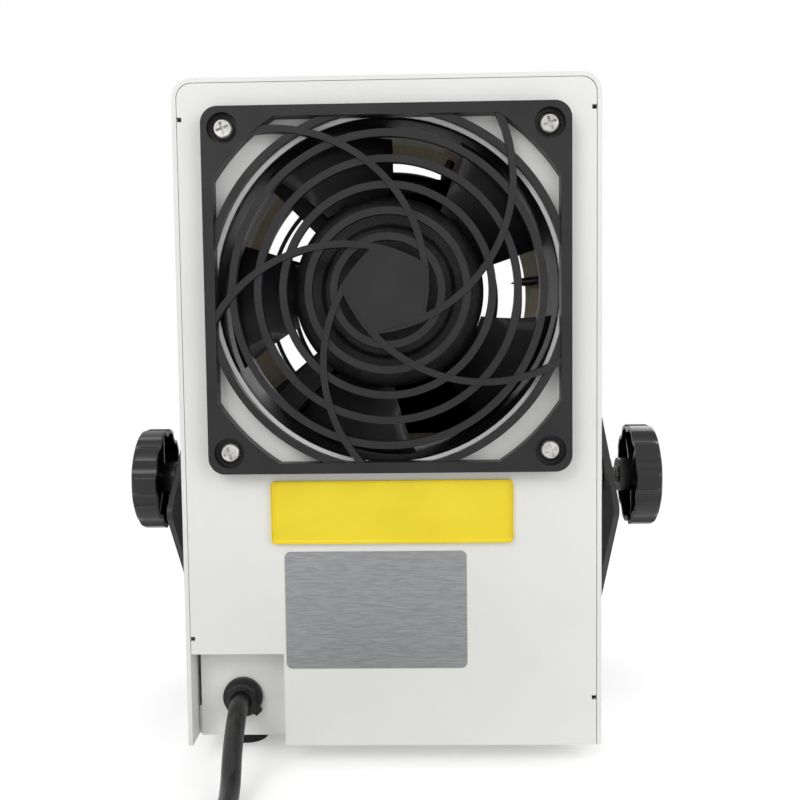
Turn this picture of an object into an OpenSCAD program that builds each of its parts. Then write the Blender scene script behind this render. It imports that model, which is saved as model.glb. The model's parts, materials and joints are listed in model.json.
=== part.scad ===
// Bench-top ionizing air blower: folded steel case, axial fan, emitter ring, tilting bracket.
// Millimetres. +Z is up, the air inlet faces +Y and the air outlet faces -Y.

/* [Case] */
// Width of the case over its side walls
case_w = 140; // [136:1:160]
// Height of the case without its feet
case_h = 223; // [216:1:250]
// Depth of the case from outlet face to inlet face
case_d = 83; // [76:1:100]
// Thickness of the wrapped cover sheet
cover_t = 1.5; // [1.2:0.1:2]
// Thickness of the chassis and rear panel sheet
panel_t = 1.2; // [1:0.1:1.5]
// Outer bend radius at the cover's two top corners
corner_r = 6.5; // [4:0.5:8]
// Gap between the cover and the panels inside it
seam = 0.2; // [0.15:0.05:0.4]
// Depth of the folded stiffening flanges
flange_d = 10; // [8:1:12]

/* [Fan] */
// Side of the square fan frame
fan_w = 119; // [118:0.5:120]
// Distance between the fan's fixing holes
hole_pitch = 105; // [104:0.5:106]
// Depth of the fan frame
fan_d = 38; // [36:1:40]
// Bore of the fan frame
fan_bore = 113; // [110:0.5:114]
// Distance from the fan frame up to the top of the case
fan_drop = 10.3; // [9:0.1:14]
// Diameter of the rotor hub
hub_d = 64; // [58:1:66]
// Number of rotor blades
blades = 5; // [4:1:7]
// Gap between the blade tips and the fan bore
tip_gap = 1.2; // [0.8:0.1:2]
// Diameter of the rotor shaft
shaft_d = 5; // [4:0.5:6]

/* [Rear guard] */
// Thickness of the moulded guard
guard_t = 5.5; // [5:0.25:7]
// Corner radius of the guard
guard_r = 5.5; // [4:0.5:7]
// Width of the guard's square border
guard_border = 3.5; // [3:0.5:5]
// Number of concentric rings
guard_rings = 6; // [5:1:6]
// Distance between neighbouring rings
ring_pitch = 8.25; // [8:0.05:8.4]
// Width of a ring
ring_w = 2.4; // [1.8:0.1:3]
// Width of a spiral arm
spiral_w = 2.2; // [1.6:0.1:3]
// Radius of the spiral arms' arcs
spiral_r = 49; // [48:0.5:50]

/* [Bracket] */
// Thickness of the bracket strip
strap_t = 2; // [1.5:0.25:2.5]
// Width of the bracket strip
strap_w = 50; // [44:1:54]
// Height of the pivot above the underside of the case
pivot_h = 87; // [84:1:92]
// Distance of the pivot from the rear face
pivot_back = 34; // [30:1:38]
// Space between the case side and the bracket arm
arm_gap = 6; // [5:0.5:8]
// Length of the arm beyond its pivot
arm_end = 10; // [9:1:14]
// Forward tilt of the arms from straight down
arm_tilt = 41; // [38:1:43]
// Room between the case's lower edge and the bracket as it swings
swing_gap = 1.1; // [1:0.1:3]

/* [Knobs] */
// Diameter of the clamp knobs
knob_d = 36.5; // [34:0.5:40]
// Thickness of the clamp knobs
knob_t = 9; // [8:0.5:11]
// Number of grip lobes round a knob
knob_lobes = 10; // [8:1:12]
// Diameter of the clamp studs
stud_d = 6; // [5:0.5:6]
// Slack left under the knob on the +X side
slack_left = 0.4; // [0.3:0.1:3]
// Slack left under the knob on the -X side
slack_right = 2.6; // [0.3:0.1:3]

/* [Emitter] */
// Distance of the emitter ring from the rear face
ring_depth = 55; // [50:1:58]
// Inner radius of the emitter ring
ring_r = 51; // [50:0.5:52]
// Number of emitter needles
needles = 6; // [4:2:8]
// Free length of a needle with its holder
needle_len = 5.5; // [4:0.5:7]

/* [Controls] */
// Height of the switch and the dial above the underside of the case
control_h = 46; // [42:1:55]
// Distance of the switch to the side of the centre line
switch_x = 36; // [32:1:42]
// Distance of the dial to the other side of the centre line
dial_x = 30; // [26:1:36]
// Diameter of the speed dial
dial_d = 26; // [22:1:30]

/* [Cable entry] */
// Width of the rear pocket for the cable
pocket_w = 31.4; // [28:0.2:34]
// Height of the rear pocket
pocket_h = 31.7; // [28:0.1:34]
// Depth of the rear pocket
pocket_d = 9; // [8:0.5:11]
// Height of the cable above the underside of the case
cable_h = 14; // [12:0.5:16]
// Outer diameter of the strain relief rim
relief_d = 13.7; // [13:0.1:15]
// Diameter of the mains cable
cord_d = 6.5; // [6:0.5:7]

/* [Feet] */
// Diameter of the rubber feet
foot_d = 16; // [12:1:18]
// Distance of the rear feet's centres from the rear face
foot_rear = 26; // [22:1:30]
// Distance of the feet's centres from the case sides
foot_side = 16; // [14:1:22]

/* [Hidden] */
$fn = 64;
fit = 0.3;                  // gap between curved faces of different bodies
run = 0.05;                 // radial clearance of a shaft in its bore
swing_d = case_d - pivot_back;
strap_l = sqrt(pow(swing_d, 2) + pow(pivot_h, 2)) + swing_gap + strap_t;
base_low = strap_l * cos(arm_tilt) + strap_w / 2 * sin(arm_tilt);
foot_h = base_low - pivot_h + 0.35;
reach_front = strap_l * sin(arm_tilt) + strap_w / 2 * cos(arm_tilt);
reach_rear = pivot_back + guard_t;
pivot_y = (reach_front - reach_rear) / 2;
pivot_z = foot_h + pivot_h;
rear_y = pivot_y + pivot_back;
front_y = rear_y - case_d;
fan_z = foot_h + case_h - fan_drop - fan_w / 2;
// front feet as far forward as the bracket's swing past them allows
foot_reach = sqrt(pow(strap_l - strap_t - 0.5, 2) - pow(pivot_z, 2));
half_w = case_w / 2;
panel_x = half_w - cover_t - seam;
arm_x = half_w + arm_gap;
opening_r = fan_bore / 2;
corner_hole = hole_pitch / 2;

// M4 and M3 screws of the case and the fan
screw_r = 2;
screw_hole_r = 2.25;
head_r = 3.6;
head_h = 2.3;
nut_r = 4.04;
nut_h = 3.2;
small_r = 1.5;
small_head_r = 2.8;
small_head_h = 1.8;

// Cable pocket at the +X side of the rear face
pocket_x1 = half_w - cover_t - 0.3;
pocket_x0 = pocket_x1 - pocket_w;
cable_x = 52.5;
cable_z = foot_h + cable_h;
relief_out = 5.5;

// Route of the mains cable: out of its relief, down to the bench and away to its coil
CORD = [
    [52.5, 38, 21.5], [52.5, 46, 21.5], [52.5, 55, 21.5], [52, 65, 19.2], [51.5, 75, 12.5],
    [50.5, 84, 6], [49.5, 95, 3.5], [48.5, 108, 3.5], [48, 124, 3.5], [47.5, 142, 3.5]
];
TAIL = [[5, 184, 9.8], [-8, 186, 12], [-20, 190, 17], [-32, 192, 19.5], [-40, 192, 19.5]];
coil_x = 5;
coil_y = 142;
coil_mid_r = 35.5;
coil_wide = 3;
coil_high = 2;
plug_x = -34;
plug_y = 192;
plug_r = 19.4;
plug_z = 19.5;

// ---- helpers -------------------------------------------------------------------------------

// Children drawn as seen from behind, their +Z pointing out of the rear face
module rear(depth = 0, x = 0, z = 0) {
    translate([x, rear_y - depth, z]) rotate([90, 0, 180]) children();
}

// Children drawn as seen from the front, their +Z pointing out of the front face
module front(depth = 0, x = 0, z = 0) {
    translate([x, front_y + depth, z]) rotate([90, 0, 0]) children();
}

// Children with their +Z pointing outward from the case side, side = 1 or -1, at the pivot
module side(s, out) {
    translate([s * out, pivot_y, pivot_z]) rotate([0, s * 90, 0]) children();
}

module fan_corners() {
    for (u = [-1, 1], v = [-1, 1]) translate([u * corner_hole, v * corner_hole, 0]) children();
}

module rounded_square(w, h, r) {
    square([w - 2 * r, h], center = true);
    square([w, h - 2 * r], center = true);
    for (u = [-1, 1], v = [-1, 1]) translate([u * (w / 2 - r), v * (h / 2 - r)]) circle(r);
}

// Outline with a flat foot and two round top corners
module arch(w, h, r) {
    translate([-w / 2, 0]) square([w, h - r]);
    translate([-w / 2 + r, 0]) square([w - 2 * r, h]);
    for (u = [-1, 1]) translate([u * (w / 2 - r), h - r]) circle(r);
}

// Pan head with a cross recess, standing on z = 0, and its shank below
module cross_screw(r, hr, hh, length) {
    difference() {
        union() {
            cylinder(r = hr, h = hh * 0.55);
            translate([0, 0, hh * 0.55]) cylinder(r1 = hr, r2 = hr * 0.72, h = hh * 0.45);
            translate([0, 0, -length]) cylinder(r = r, h = length + 0.01);
        }
        for (a = [0, 90]) rotate([0, 0, a + 20])
            translate([-hr * 0.6, -0.45, hh * 0.35]) cube([hr * 1.2, 0.9, hh]);
    }
}

module hex_nut(r, h, bore) {
    difference() {
        cylinder(r = r, h = h, $fn = 6);
        translate([0, 0, -1]) cylinder(r = bore, h = h + 2);
    }
}

// Smooth curve through the route's points
function curve_at(p, i, t) =
    let (a = p[max(i - 1, 0)], b = p[i], c = p[i + 1], d = p[min(i + 2, len(p) - 1)])
    0.5 * (2 * b + (c - a) * t + (2 * a - 5 * b + 4 * c - d) * t * t
        + (3 * b - a - 3 * c + d) * t * t * t);
function smooth(p, n) = [
    for (i = [0 : len(p) - 2], k = [0 : n - 1]) curve_at(p, i, k / n),
    p[len(p) - 1]
];
function unit(v) = v / norm(v);
function heading(p, i) = unit(p[min(i + 1, len(p) - 1)] - p[max(i - 1, 0)]);

// Tube of radius r along points p, with flat ends
module tube(p, r, sides) {
    n = len(p);
    rings = [
        for (i = [0 : n - 1])
            let (d = heading(p, i), s = unit(cross(d, abs(d[2]) > 0.9 ? [1, 0, 0] : [0, 0, 1])),
                u = cross(s, d))
            for (k = [0 : sides - 1]) p[i] + r * (cos(k * 360 / sides) * s + sin(k * 360 / sides) * u)
    ];
    walls = [
        for (i = [0 : n - 2], k = [0 : sides - 1])
            let (m = (k + 1) % sides)
            [i * sides + k, i * sides + m, (i + 1) * sides + m, (i + 1) * sides + k]
    ];
    low = [for (k = [sides - 1 : -1 : 0]) k];
    high = [for (k = [0 : sides - 1]) (n - 1) * sides + k];
    polyhedron(rings, concat([low], walls, [high]));
}

// ---- case ----------------------------------------------------------------------------------

cover_screw_z = foot_h + 7;
cover_screw_y = [front_y + 14, rear_y - 22];

module cover() {
    color("#e9e9e6") difference() {
        translate([0, rear_y, foot_h]) rotate([90, 0, 0]) linear_extrude(case_d) difference() {
            arch(case_w, case_h, corner_r);
            translate([0, -1]) arch(case_w - 2 * cover_t, case_h - cover_t + 1, corner_r - cover_t);
        }
        for (s = [-1, 1]) side(s, half_w - 5) cylinder(r = stud_d / 2 + 0.3, h = 10);
        for (s = [-1, 1], y = cover_screw_y)
            translate([s * half_w, y, cover_screw_z]) rotate([0, 90, 0])
                cylinder(r = small_r + 0.1, h = 10, center = true);
    }
}

module cover_screws() {
    color("#b8b8bb") for (s = [-1, 1], y = cover_screw_y)
        translate([s * half_w, y, cover_screw_z]) rotate([0, s * 90, 0])
            cross_screw(small_r, small_head_r, small_head_h, 6);
}

led_x = [-5, 5];
led_z = foot_h + control_h + 24;
switch_w = 13;
switch_h = 19.2;

// Front face and floor, folded from one sheet with flanges up the sides
module chassis() {
    inner = panel_x - panel_t;
    floor_d = case_d - panel_t - seam;
    color("#e4e4e1") difference() {
        union() {
            translate([0, front_y + panel_t, foot_h]) rotate([90, 0, 0]) linear_extrude(panel_t)
                arch(2 * panel_x, case_h - cover_t - seam, corner_r - cover_t);
            translate([-panel_x, front_y, foot_h]) cube([2 * panel_x, floor_d, panel_t]);
            for (s = [-1, 1]) {
                translate([s * (panel_x - panel_t / 2), front_y + floor_d / 2, foot_h + flange_d / 2])
                    cube([panel_t, floor_d, flange_d], center = true);
                translate([s * (panel_x - panel_t / 2), front_y + flange_d / 2, foot_h + case_h / 2])
                    cube([panel_t, flange_d, case_h - 40], center = true);
            }
            translate([corner_r - inner, front_y, foot_h + case_h - cover_t - seam - panel_t])
                cube([2 * inner - 2 * corner_r, flange_d, panel_t]);
        }
        // notch that lets the cable pocket reach the bench side
        translate([pocket_x0 - panel_t - seam, rear_y - pocket_d - panel_t - seam, foot_h - 1])
            cube([pocket_w + 10, 30, flange_d + 2]);
        front(panel_t + 1, 0, fan_z) {
            cylinder(r = opening_r, h = panel_t + 2);
            fan_corners() cylinder(r = screw_hole_r, h = panel_t + 2);
            for (k = [0 : 2]) rotate([0, 0, pillar_turn + 120 * k])
                translate([pillar_at, 0, 0]) cylinder(r = small_r + 0.1, h = panel_t + 2);
        }
        front(panel_t + 1, switch_x, foot_h + control_h)
            translate([-switch_w / 2, -switch_h / 2, 0]) cube([switch_w, switch_h, panel_t + 2]);
        front(panel_t + 1, -dial_x, foot_h + control_h) cylinder(r = 3.6, h = panel_t + 2);
        for (x = led_x) front(panel_t + 1, x, led_z) cylinder(r = 2.6, h = panel_t + 2);
        for (s = [-1, 1], y = cover_screw_y)
            translate([s * panel_x, y, cover_screw_z]) rotate([0, 90, 0])
                cylinder(r = small_r + 0.1, h = 6, center = true);
        for (p = foot_places) translate([p[0], p[1], foot_h - 1]) cylinder(r = small_r + 0.1, h = 6);
    }
}

notch = 1.5;

// Rear face with the fan opening, its folded flanges and the pocket for the cable
module rear_panel() {
    top = case_h - cover_t - seam;
    color("#e7e7e4") difference() {
        union() {
            difference() {
                translate([0, rear_y, foot_h]) rotate([90, 0, 0]) linear_extrude(panel_t)
                    arch(2 * panel_x, top, corner_r - cover_t);
                translate([pocket_x0, rear_y - 5, foot_h - 1]) cube([pocket_w + 5, 10, pocket_h + 1]);
            }
            flange(1, pocket_h + 6, 209);
            flange(-1, 17, 211);
            translate([-panel_x + 8, rear_y - flange_d, foot_h + top - panel_t])
                cube([2 * panel_x - 16, flange_d, panel_t]);
            translate([-panel_x + 8, rear_y - flange_d, foot_h + panel_t + seam])
                cube([pocket_x0 + panel_x - 10, flange_d, panel_t]);
            // pocket: back wall, roof and inner cheek
            translate([pocket_x0 - panel_t, rear_y - pocket_d - panel_t, foot_h])
                cube([pocket_w + panel_t - 1, panel_t, pocket_h + panel_t]);
            translate([pocket_x0 - panel_t, rear_y - pocket_d - 0.1, foot_h + pocket_h])
                cube([pocket_w + panel_t - 0.3, pocket_d + 0.1, panel_t]);
            translate([pocket_x0 - panel_t, rear_y - pocket_d - 0.1, foot_h])
                cube([panel_t, pocket_d + 0.1, pocket_h + 0.1]);
        }
        for (p = [[1, pocket_h + 5.3], [1, 209.7], [-1, 16.3], [-1, 211.7]])
            translate([p[0] * panel_x, rear_y, foot_h + p[1]]) cube([2 * notch, 30, notch], center = true);
        rear(panel_t + 1, 0, fan_z) {
            cylinder(r = opening_r, h = panel_t + 2);
            fan_corners() cylinder(r = screw_hole_r, h = panel_t + 2);
        }
        rear(pocket_d + panel_t + 1, cable_x, cable_z) cylinder(r = relief_neck, h = panel_t + 2);
    }
}

module flange(s, low, high) {
    translate([s * (panel_x - panel_t / 2), rear_y - flange_d / 2, foot_h + (low + high) / 2])
        cube([panel_t, flange_d, high - low], center = true);
}

// ---- rear guard ----------------------------------------------------------------------------

guard_corner_r = fan_w * 0.56;
recess_r = 5;
recess_d = 2.6;
arm_from = 1.6;
ring_low = 0.9;
seat = 0.5;

module guard_window(grow = 0) {
    intersection() {
        square(fan_w - 2 * guard_border + 2 * grow, center = true);
        circle(guard_corner_r + grow);
    }
}

// Arc that leaves one corner of the hub and sweeps out to the border
module spiral_arm() {
    start = hub_apothem * tan(36) - 0.4;
    intersection() {
        translate([spiral_r - hub_apothem - 0.3, 0]) difference() {
            circle(spiral_r + spiral_w / 2, $fn = 96);
            circle(spiral_r - spiral_w / 2, $fn = 96);
        }
        translate([-spiral_r, -2 * spiral_r]) square([4 * spiral_r, 2 * spiral_r + start]);
    }
}

hub_apothem = 11.9;

// Moulded finger guard: square border, concentric rings and five spiral arms
module rear_guard() {
    color("#1d1d1f") rear(0, 0, fan_z) difference() {
        union() {
            linear_extrude(guard_t) difference() {
                rounded_square(fan_w, fan_w, guard_r);
                guard_window();
            }
            translate([0, 0, arm_from]) linear_extrude(guard_t - arm_from - ring_low) intersection() {
                guard_window(seat);
                for (k = [1 : guard_rings]) difference() {
                    circle(9.25 + k * ring_pitch + ring_w / 2, $fn = 96);
                    circle(9.25 + k * ring_pitch - ring_w / 2, $fn = 96);
                }
            }
            translate([0, 0, arm_from]) linear_extrude(guard_t - arm_from - 0.3) intersection() {
                guard_window(seat);
                for (k = [0 : 4]) rotate(31 + 72 * k) spiral_arm();
            }
            translate([0, 0, arm_from]) rotate([0, 0, 33]) cylinder(r = hub_apothem / cos(36),
                h = guard_t - arm_from, $fn = 5);
        }
        fan_corners() {
            translate([0, 0, -1]) cylinder(r = screw_hole_r, h = guard_t + 2);
            translate([0, 0, guard_t - recess_d]) cylinder(r = recess_r, h = guard_t);
        }
    }
}

module guard_screws() {
    color("#c9c9cc") rear(0, 0, fan_z) fan_corners()
        translate([0, 0, guard_t - recess_d]) cross_screw(screw_r, head_r, head_h, 14);
}

module guard_nuts() {
    color("#b8b8bb") rear(panel_t + fan_flange + nut_h, 0, fan_z) fan_corners()
        hex_nut(nut_r, nut_h, screw_r + run);
}

// ---- fan -----------------------------------------------------------------------------------

fan_flange = 4.5;
barrel_r = fan_w / 2 - 0.2;
bearing_r = 6.5;
bearing_h = 4;
strut_h = 5;
strut_w = 6;
mount_r = hub_d / 2 - 1;

// Children in the fan's own frame: z = 0 on its inlet face, the fan body below it
module fan() {
    rear(panel_t, 0, fan_z) children();
}

module fan_frame() {
    color("#2a2a2c") fan() {
        difference() {
            union() {
                for (z = [-fan_d, -fan_flange]) translate([0, 0, z])
                    linear_extrude(fan_flange) rounded_square(fan_w, fan_w, 4);
                translate([0, 0, -fan_d]) cylinder(r = barrel_r, h = fan_d, $fn = 96);
            }
            translate([0, 0, -fan_d - 1]) cylinder(r = opening_r, h = fan_d + 2, $fn = 96);
            translate([0, 0, -4]) cylinder(r1 = opening_r, r2 = opening_r + 1.6, h = 4.01, $fn = 96);
            fan_corners() translate([0, 0, -fan_d - 1]) cylinder(r = screw_hole_r, h = fan_d + 2);
        }
        difference() {
            union() {
                translate([0, 0, -fan_d]) cylinder(r = mount_r, h = 3);
                translate([0, 0, -fan_d]) cylinder(r = bearing_r + 2.5, h = fan_d - 14);
                for (a = [45, 135, 225, 315]) rotate([0, 0, a]) translate([0, 0, -fan_d]) intersection() {
                    translate([mount_r - 4, -(a == 225 ? strut_w + 3 : strut_w) / 2, 0])
                        cube([opening_r - mount_r + 5, a == 225 ? strut_w + 3 : strut_w, strut_h]);
                    cylinder(r = opening_r + 0.5, h = strut_h);
                }
            }
            translate([0, 0, -fan_d + 1.5]) cylinder(r = bearing_r, h = fan_d);
        }
    }
}

module motor_stator() {
    lugs = 8;
    color("#7d5a3a") fan() translate([0, 0, -29]) difference() {
        union() {
            cylinder(r = 17, h = 12);
            for (k = [0 : lugs - 1]) rotate([0, 0, k * 360 / lugs]) {
                translate([14, -3, 1]) cube([8, 6, 10]);
                intersection() {
                    translate([21, -7.5, 0]) cube([6, 15, 12]);
                    cylinder(r = 25.5, h = 12);
                }
            }
        }
        translate([0, 0, -1]) cylinder(r = bearing_r + 2.5 + 0.02, h = 14);
    }
}

bearing_z = [-fan_d + 1.6, -14 - bearing_h - 0.2];

module fan_bearings() {
    color("#c4c4c8") fan() for (z = bearing_z) translate([0, 0, z]) difference() {
        cylinder(r = bearing_r - 0.02, h = bearing_h);
        translate([0, 0, -1]) cylinder(r = shaft_d / 2 + run, h = bearing_h + 2);
        translate([0, 0, bearing_h - 0.4]) difference() {
            cylinder(r = bearing_r - 1.4, h = 1);
            translate([0, 0, -1]) cylinder(r = shaft_d / 2 + 1.3, h = 3);
        }
    }
}

module rotor_shaft() {
    color("#cfcfd3") fan() translate([0, 0, -fan_d + 1.8]) cylinder(r = shaft_d / 2, h = fan_d - 1.8 - 5.6);
}

blade_rows = 5;
blade_steps = 8;
blade_in = -7;
blade_out = -30;
tip_r = opening_r - tip_gap;
blade_root = hub_d / 2 + 0.05;

// Angle, radius and height of one point on a blade's skin, side = 1 or -1
function blade_point(i, j, side) =
    let (t = j / blade_steps, w = i / blade_rows,
        r = blade_root + w * (tip_r - blade_root),
        span = (40 + 6 * w) * (5 / blades), angle = span * (0.5 - t) + 4 * w,
        z = blade_in + (blade_out - blade_in) * (0.35 * t + 0.65 * t * t) - 1.5 * sin(180 * t),
        thick = 0.7 + 1.1 * sin(180 * t) + 0.4 * (1 - w),
        pitch = atan((blade_in - blade_out) / (r * span * PI / 180)),
        da = side * thick / 2 * sin(pitch) / r * 180 / PI)
    [r * cos(angle + da), r * sin(angle + da), z + side * thick / 2 * cos(pitch)];

module blade() {
    across = blade_steps + 1;
    half = (blade_rows + 1) * across;
    skin = [for (s = [1, -1], i = [0 : blade_rows], j = [0 : blade_steps]) blade_point(i, j, s)];
    function at(s, i, j) = s * half + i * across + j;
    function quad(a, b, c, d) = [[a, b, c], [a, c, d]];
    faces = concat(
        [for (i = [0 : blade_rows - 1], j = [0 : blade_steps - 1]) each concat(
            quad(at(0, i, j), at(0, i + 1, j), at(0, i + 1, j + 1), at(0, i, j + 1)),
            quad(at(1, i, j), at(1, i, j + 1), at(1, i + 1, j + 1), at(1, i + 1, j)))],
        [for (j = [0 : blade_steps - 1]) each concat(
            quad(at(0, 0, j), at(0, 0, j + 1), at(1, 0, j + 1), at(1, 0, j)),
            quad(at(0, blade_rows, j), at(1, blade_rows, j),
                at(1, blade_rows, j + 1), at(0, blade_rows, j + 1)))],
        [for (i = [0 : blade_rows - 1]) each concat(
            quad(at(0, i, 0), at(1, i, 0), at(1, i + 1, 0), at(0, i + 1, 0)),
            quad(at(0, i, blade_steps), at(0, i + 1, blade_steps),
                at(1, i + 1, blade_steps), at(1, i, blade_steps)))]);
    polyhedron(skin, faces);
}

// Stepped rotor cup, open towards the stator
module rotor_hub() {
    hr = hub_d / 2;
    color("#232325") fan() rotate_extrude($fn = 96) polygon([
        [0, -3.5], [hr - 11, -3.5], [hr - 9.5, -5], [hr - 5, -5.6], [hr - 2, -6.6], [hr, -8.5], [hr, -31],
        [hr - 2.4, -31], [hr - 2.4, -10.5], [hr - 6, -8.2], [6, -7.8], [6, -13], [shaft_d / 2 + 0.01, -13],
        [shaft_d / 2 + 0.01, -5.6], [0, -5.6]
    ]);
}

// Wide cambered blades, each standing on the rotor cup
module fan_blades() {
    color("#28282a") fan() for (k = [0 : blades - 1]) rotate([0, 0, (k + 0.5) * 360 / blades]) blade();
}

// ---- outlet side ---------------------------------------------------------------------------

wire_r = 0.9;
grille_rings = [12, 22, 32, 42, 52];

module outlet_grille() {
    color("#202022") front(0, 0, fan_z) difference() {
        union() {
            for (r = grille_rings) translate([0, 0, 3 * wire_r - 0.3])
                rotate_extrude($fn = 96) translate([r, 0]) circle(wire_r, $fn = 24);
            for (a = [45, 135, 225, 315]) rotate([0, 0, a]) {
                translate([grille_rings[0], 0, wire_r]) rotate([0, 90, 0])
                    cylinder(r = wire_r, h = corner_hole * sqrt(2) - grille_rings[0] - 3, $fn = 24);
                translate([corner_hole * sqrt(2), 0, wire_r])
                    rotate_extrude() translate([3.4, 0]) circle(wire_r, $fn = 24);
            }
        }
        fan_corners() cylinder(r = screw_hole_r, h = 10, center = true);
    }
}

module grille_screws() {
    color("#c9c9cc") front(0, 0, fan_z) fan_corners() translate([0, 0, 2 * wire_r])
        cross_screw(screw_r, 4.2, head_h, 8);
}

module grille_nuts() {
    color("#b8b8bb") front(panel_t + nut_h, 0, fan_z) fan_corners() hex_nut(nut_r, nut_h, screw_r + run);
}

pillar_turn = -6;
pillar_at = 62.5;
ring_t = 1.6;
pillar_len = case_d - panel_t - ring_depth - ring_t / 2;

// Children in the emitter ring's own plane, seen from behind
module emitter_plane() {
    rear(ring_depth, 0, fan_z) children();
}

module emitter_ring() {
    color("#b08a5a") emitter_plane() difference() {
        union() {
            translate([0, 0, -ring_t / 2]) cylinder(r = ring_r + 7, h = ring_t, $fn = 96);
            for (k = [0 : 2]) rotate([0, 0, 180 - pillar_turn + 120 * k])
                translate([ring_r + 4, -4, -ring_t / 2]) cube([pillar_at - ring_r, 8, ring_t]);
        }
        translate([0, 0, -5]) cylinder(r = ring_r, h = 10, $fn = 96);
        for (k = [0 : 2]) rotate([0, 0, 180 - pillar_turn + 120 * k])
            translate([pillar_at, 0, -5]) cylinder(r = small_r + 0.1, h = 10);
    }
}

module emitter_needles() {
    color("#3a3330") emitter_plane() for (k = [0 : needles - 1]) rotate([0, 0, 6 + k * 360 / needles])
        translate([ring_r, 0, ring_t / 2 + 1.6]) rotate([0, -90, 0]) {
            translate([0, 0, -5]) cylinder(r = 1.6, h = 6, $fn = 32);
            translate([0, 0, 1]) cylinder(r1 = 1.6, r2 = 0.2, h = needle_len - 1, $fn = 32);
        }
}

module ring_pillars() {
    color("#d8d8d2") emitter_plane() for (k = [0 : 2]) rotate([0, 0, 180 - pillar_turn + 120 * k])
        translate([pillar_at, 0, -ring_t / 2 - pillar_len]) difference() {
            cylinder(r = 3, h = pillar_len);
            translate([0, 0, -1]) cylinder(r = small_r + run, h = pillar_len + 2);
        }
}

module ring_screws() {
    color("#b8b8bb") for (k = [0 : 2]) {
        emitter_plane() rotate([0, 0, 180 - pillar_turn + 120 * k])
            translate([pillar_at, 0, ring_t / 2]) cross_screw(small_r, small_head_r, small_head_h, 8);
        front(0, 0, fan_z) rotate([0, 0, pillar_turn + 120 * k])
            translate([pillar_at, 0, 0]) cross_screw(small_r, small_head_r, small_head_h, 8);
    }
}

// ---- electrics -----------------------------------------------------------------------------

floor_z = foot_h + panel_t;

module hv_module() {
    color("#2b2b30") translate([-64, front_y + 24, floor_z + panel_t + seam]) difference() {
        cube([52, 40, 26]);
        for (x = [4, 48], y = [4, 36]) translate([x, y, 20]) cylinder(r = 1.6, h = 10);
        translate([10, 8, 25]) cube([32, 24, 5]);
    }
}

board_x = 2;
board_y = front_y + 16;
board_w = 48;
board_l = 50;
board_z = floor_z + 8;

module board_grid() {
    for (x = [4, board_w - 4], y = [4, board_l - 8]) translate([board_x + x, board_y + y, 0]) children();
}

module control_board() {
    color("#2f6a45") difference() {
        translate([board_x, board_y, board_z]) cube([board_w, board_l, 1.6]);
        board_grid() translate([0, 0, board_z - 1]) cylinder(r = small_r + 0.1, h = 4);
    }
}

// Transformer, capacitors, fuse and terminal block, each standing on the board
module board_parts() {
    top = board_z + 1.6;
    color("#45464d") {
        translate([board_x + 12, board_y + 14, top]) cube([20, 17, 16]);
        translate([board_x + 40, board_y + 18, top]) cylinder(r = 4, h = 12);
        translate([board_x + 40, board_y + 30, top]) cylinder(r = 4, h = 12);
        translate([board_x + 10, board_y + 36, top]) cube([26, 9, 10]);
        translate([board_x + 12, board_y + 6, top + 3]) rotate([0, 90, 0]) cylinder(r = 2.6, h = 20);
    }
}

module board_pillars() {
    color("#d8d8d2") board_grid() translate([0, 0, floor_z]) difference() {
        cylinder(r = 3, h = board_z - floor_z);
        translate([0, 0, 1]) cylinder(r = small_r - 0.2, h = board_z - floor_z);
    }
}

// High-voltage lead to the ring, fan lead and the cable's inner end
module wiring() {
    ring_y = rear_y - ring_depth;
    low = fan_z - ring_r - 3;
    hv_top = floor_z + panel_t + seam + 25;
    color("#8c2d2a") tube(smooth([
        [-38, front_y + 42, hv_top], [-38, front_y + 42, floor_z + 42],
        [-30, ring_y - 6, floor_z + 62], [-12, ring_y - 4, low - 14], [-6, ring_y - ring_t / 2 - 1.3, low]
    ], 4), 1.3, 8);
    color("#3b3b3e") tube(smooth([
        [47, rear_y - 32, fan_z - fan_w / 2], [46, rear_y - 34, fan_z - fan_w / 2 - 20],
        [36, front_y + 52, board_z + 26], [30, front_y + 56, board_z + 12]
    ], 4), 1.3, 8);
}

// ---- controls ------------------------------------------------------------------------------

control_z = foot_h + control_h;
bezel_t = 2;
rocker_pivot = -2.5;
rocker_swing = 18;
rocker_w = 9;
rocker_pin_r = 0.9;

module switch_housing() {
    room = rocker_w / 2 + 0.4;
    color("#18181a") front(0, switch_x, control_z) difference() {
        union() {
            linear_extrude(bezel_t) rounded_square(15, 21, 1);
            translate([-6.3, -9.4, -13]) cube([12.6, 18.8, 13.01]);
            for (y = [-6, 0, 6]) translate([-2.4, y - 0.4, -19]) cube([4.8, 0.8, 6.01]);
        }
        translate([-room, -8.2, -9]) cube([2 * room, 16.4, 12]);
        translate([0, 0, rocker_pivot]) rotate([0, 90, 0])
            cylinder(r = rocker_pin_r + run, h = 2 * room + 1.6, center = true);
    }
}

// Rocker with two sloping faces on its cross pin, its upper end out
module switch_rocker() {
    color("#202124") front(0, switch_x, control_z) translate([0, 0, rocker_pivot])
        rotate([rocker_swing / 2, 0, 0]) {
            rotate([90, 0, 90]) linear_extrude(rocker_w, center = true) polygon([
                [-7.5, 3.1], [-7.1, 5.9], [0, 3.9], [7.1, 5.9], [7.5, 3.1],
                [5, -0.5], [1.5, -2.7], [-1.5, -2.7], [-5, -0.5]
            ]);
            rotate([0, 90, 0]) cylinder(r = rocker_pin_r, h = rocker_w + 2, center = true);
        }
}

pot_r = 8;

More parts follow.
